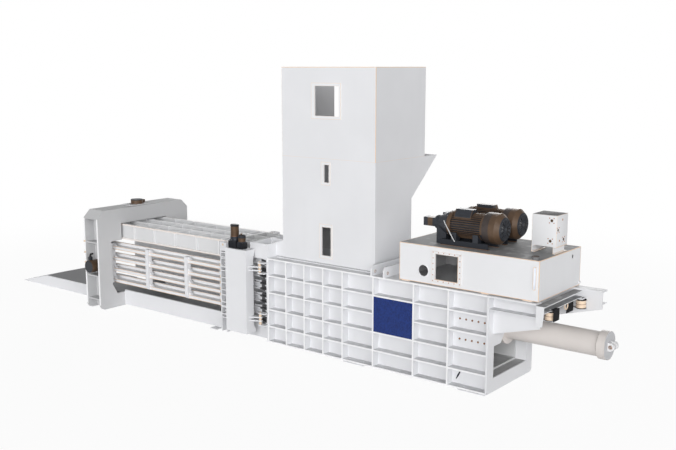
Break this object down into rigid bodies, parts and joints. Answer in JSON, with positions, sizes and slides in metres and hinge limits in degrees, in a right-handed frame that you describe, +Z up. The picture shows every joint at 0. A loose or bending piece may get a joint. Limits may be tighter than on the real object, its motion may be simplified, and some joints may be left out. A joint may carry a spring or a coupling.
{
  "type": "recycling baler",
  "caption": "Horizontal channel baler: ribbed press box with hopper, ram, tying frame with needles, channel with portal, oil tank with pump motors.",
  "frame": {"origin": "on the ground, under the middle of the press box, on the machine's centre plane", "axes": "+X towards the main cylinder, -X the way the bales leave, +Y the loading side, +Z up"},
  "size_m": [13.6099, 4.765, 4.769],
  "materials": {
    "body": "light grey-white paint, satin",
    "steel": "ground steel",
    "pin": "bronze-coloured passivated steel",
    "dark_paint": "dark blue-grey paint",
    "bronze_paint": "dark bronze paint",
    "blue_paint": "blue hammered paint",
    "beige_paint": "warm light grey paint",
    "roller": "bronze-coloured steel",
    "rotor": "dark cast iron",
    "plastic": "light grey plastic"
  },
  "bodies": {
    "frame": {"press_sides": "body", "side_access_panel": "blue_paint", "press_floor": "body", "press_top": "body", "fixed_knife": "steel", "rear_plate": "body", "foot_plates": "body", "main_barrel": "beige_paint", "barrel_end_cap": "beige_paint", "tier_bars": "body", "tier_posts": "body", "tier_top": "body", "shear_beam": "body", "hinge_lugs": "body", "hinge_pins": "pin", "needle_frame": "body", "channel_floor": "body", "base_beams": "body", "chute": "body", "portal_plates": "body", "portal_ribs": "body", "tension_barrels": "bronze_paint", "hopper_lower": "body", "hopper_upper": "body", "window_frames": "body", "hopper_base": "body", "cross_plates": "body", "tank": "body", "hand_hole_frame": "body", "motors": "bronze_paint", "fan_cowls": "bronze_paint", "bellhousings": "dark_paint", "pumps": "dark_paint", "tank_top_channels": "dark_paint", "valve_manifold": "body", "rear_brackets": "body", "cross_channel": "body"},
    "ram": {"ram_face_bars": "steel", "ram_knife": "steel", "ram_box": "body", "main_rod": "steel"},
    "lid": {"channel_lid": "body"},
    "top_rod": {"top_rod": "steel"},
    "wall_near": {"wall_rails_near": "body", "wall_straps_near": "body"},
    "wall_far": {"wall_rails_far": "body", "wall_straps_far": "body"},
    "side_rod_near": {"side_rod_near": "steel"},
    "side_rod_far": {"side_rod_far": "steel"},
    "tying_box": {"tier_door": "body", "tier_gearboxes": "dark_paint", "tier_motors": "bronze_paint"},
    "twister": {"twister_shaft": "steel"},
    "needle_unit": {"needle_carriage": "body", "needles": "steel"},
    "rotor_near": {"rotor_near": "rotor"},
    "rotor_far": {"rotor_far": "rotor"},
    "roller_near": {"guide_roller_near": "roller"},
    "roller_far": {"guide_roller_far": "roller"},
    "filler_cap": {"filler_cap": "plastic"}
  },
  "joints": [
    {"name": "ram_stroke", "type": "slide", "parent": "frame", "child": "ram", "axis": [-1, 0, 0], "range_m": [0, 2.751]},
    {"name": "lid_press", "type": "hinge", "parent": "frame", "child": "lid", "pos_m": [-3.24, 0, 1.625], "axis": [0, 1, 0], "range_deg": [-1.2, 0]},
    {"name": "top_rod_push", "type": "slide", "parent": "frame", "child": "top_rod", "axis": [0, 0, -1], "range_m": [0, 0.0675]},
    {"name": "wall_near_press", "type": "hinge", "parent": "frame", "child": "wall_near", "pos_m": [-3.355, -0.665, 0.85], "axis": [0, 0, 1], "range_deg": [-2, 0]},
    {"name": "side_rod_near_push", "type": "slide", "parent": "frame", "child": "side_rod_near", "axis": [0, 1, 0], "range_m": [0, 0.1084]},
    {"name": "wall_far_press", "type": "hinge", "parent": "frame", "child": "wall_far", "pos_m": [-3.355, 0.665, 0.85], "axis": [0, 0, 1], "range_deg": [0, 2]},
    {"name": "side_rod_far_push", "type": "slide", "parent": "frame", "child": "side_rod_far", "axis": [0, -1, 0], "range_m": [0, 0.1084]},
    {"name": "tying_box_swing", "type": "hinge", "parent": "frame", "child": "tying_box", "pos_m": [-2.285, -0.785, 0.9], "axis": [0, 0, 1], "range_deg": [0, 95]},
    {"name": "twister_spin", "type": "hinge", "parent": "tying_box", "child": "twister", "pos_m": [-2.805, -0.85, 0.9], "axis": [0, 0, 1], "continuous": true},
    {"name": "needle_stroke", "type": "slide", "parent": "frame", "child": "needle_unit", "axis": [0, -1, 0], "range_m": [0, 1.3]},
    {"name": "rotor_near_spin", "type": "hinge", "parent": "frame", "child": "rotor_near", "pos_m": [1.6, -0.28, 2.424], "axis": [1, 0, 0], "continuous": true},
    {"name": "rotor_far_spin", "type": "hinge", "parent": "frame", "child": "rotor_far", "pos_m": [1.6, 0.28, 2.424], "axis": [1, 0, 0], "continuous": true},
    {"name": "roller_near_spin", "type": "hinge", "parent": "frame", "child": "roller_near", "pos_m": [2.995, -0.45, 1.3], "axis": [0, 0, 1], "continuous": true},
    {"name": "roller_far_spin", "type": "hinge", "parent": "frame", "child": "roller_far", "pos_m": [3.055, 0.46, 1.3], "axis": [0, 0, 1], "continuous": true},
    {"name": "filler_cap_turn", "type": "hinge", "parent": "frame", "child": "filler_cap", "pos_m": [2.806, -0.586, 2.12], "axis": [0, 0, 1], "range_deg": [0, 90]}
  ],
  "couplings": [
    {"joint": "top_rod_push", "follows": "lid_press", "m_per_rad": -3.215},
    {"joint": "side_rod_near_push", "follows": "wall_near_press", "m_per_rad": -3.1},
    {"joint": "side_rod_far_push", "follows": "wall_far_press", "m_per_rad": 3.1}
  ]
}
